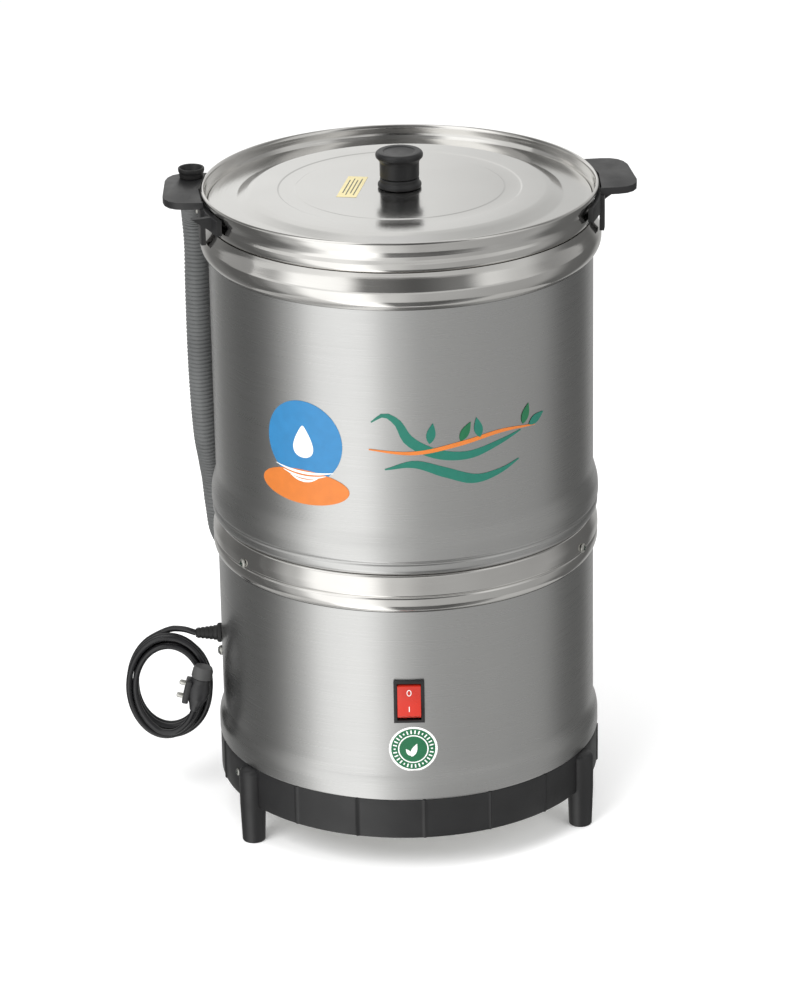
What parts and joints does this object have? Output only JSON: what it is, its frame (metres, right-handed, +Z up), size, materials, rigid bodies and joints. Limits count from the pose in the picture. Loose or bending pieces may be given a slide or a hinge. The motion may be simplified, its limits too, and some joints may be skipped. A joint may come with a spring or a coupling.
{
  "type": "electric churn cream separator",
  "caption": "Electric churn-type cream separator: lidded stainless drum on a motor base with carrying ears, side drain hose and rocker switch.",
  "frame": {"origin": "on the drum axis at floor level, under the three legs", "axes": "+Z up along the drum axis; the rocker switch faces -Y, the hose and cord side is -X, the plain ear is +X"},
  "size_m": [0.4133, 0.3187, 0.547],
  "materials": {
    "black_plastic": "moulded",
    "zinc_steel": "zinc plated",
    "satin_steel": "satin, fine vertical grain",
    "polished_steel": "polished stainless",
    "machined_steel": "turned",
    "cast_aluminium": "as cast",
    "brass": "turned",
    "soft_rubber": "moulded",
    "laminations": "stacked laminations",
    "copper": "enamelled copper wire",
    "white_plastic": "moulded",
    "hose_grey": "corrugated hose",
    "rocker_red": "moulded",
    "cord_black": "glossy sheath"
  },
  "bodies": {
    "base": {"base_ring": "black_plastic", "leg_front_left": "black_plastic", "leg_front_right": "black_plastic", "leg_rear": "black_plastic", "handle_left": "black_plastic", "handle_right": "black_plastic", "switch_housing": "black_plastic", "bottom_plate": "zinc_steel", "handle_screw_left": "zinc_steel", "handle_screw_right": "zinc_steel", "collar_screw_front_left": "zinc_steel", "collar_screw_front_right": "zinc_steel", "collar_screw_rear": "zinc_steel", "mount_plate": "zinc_steel", "motor_bracket": "zinc_steel", "motor_bolt_1": "zinc_steel", "motor_bolt_2": "zinc_steel", "motor_bolt_3": "zinc_steel", "base_casing": "satin_steel", "drum_jacket": "satin_steel", "collar_ring": "polished_steel", "shoulder_ring": "polished_steel", "vessel": "polished_steel", "bearing_top": "machined_steel", "bearing_bottom": "machined_steel", "drain_strainer": "machined_steel", "bearing_housing": "cast_aluminium", "motor_top_shield": "cast_aluminium", "motor_bottom_shield": "cast_aluminium", "shaft_bush": "brass", "housing_nut": "brass", "shaft_seal": "soft_rubber", "housing_spacer": "soft_rubber", "drain_pipe": "soft_rubber", "hose_cuff": "soft_rubber", "stator": "laminations", "winding_top": "copper", "winding_bottom": "copper", "capacitor": "white_plastic", "drain_hose": "hose_grey", "drain_elbow": "hose_grey", "elbow_nut": "hose_grey", "cord_gland": "cord_black", "cord_lead": "cord_black", "cord_coil": "cord_black", "plug_body": "cord_black"},
    "lid_body": {"lid": "polished_steel", "knob": "black_plastic", "knob_base": "black_plastic", "knob_screw": "zinc_steel"},
    "drive": {"impeller_shaft": "machined_steel", "impeller": "machined_steel", "impeller_nut": "machined_steel", "coupling_upper": "cast_aluminium", "coupling_spider": "soft_rubber", "coupling_lower": "cast_aluminium", "motor_shaft": "machined_steel", "rotor": "laminations", "cooling_fan": "black_plastic"},
    "rocker": {"switch_rocker": "rocker_red"}
  },
  "joints": [
    {"name": "lid_lift", "type": "slide", "parent": "base", "child": "lid_body", "axis": [0, 0, 1], "range_m": [0, 0.1]},
    {"name": "impeller_spin", "type": "hinge", "parent": "base", "child": "drive", "pos_m": [0, 0, 0.25], "axis": [0, 0, 1], "continuous": true},
    {"name": "switch_rock", "type": "hinge", "parent": "base", "child": "rocker", "pos_m": [0, -0.145, 0.1485], "axis": [1, 0, 0], "range_deg": [0, 20]}
  ]
}
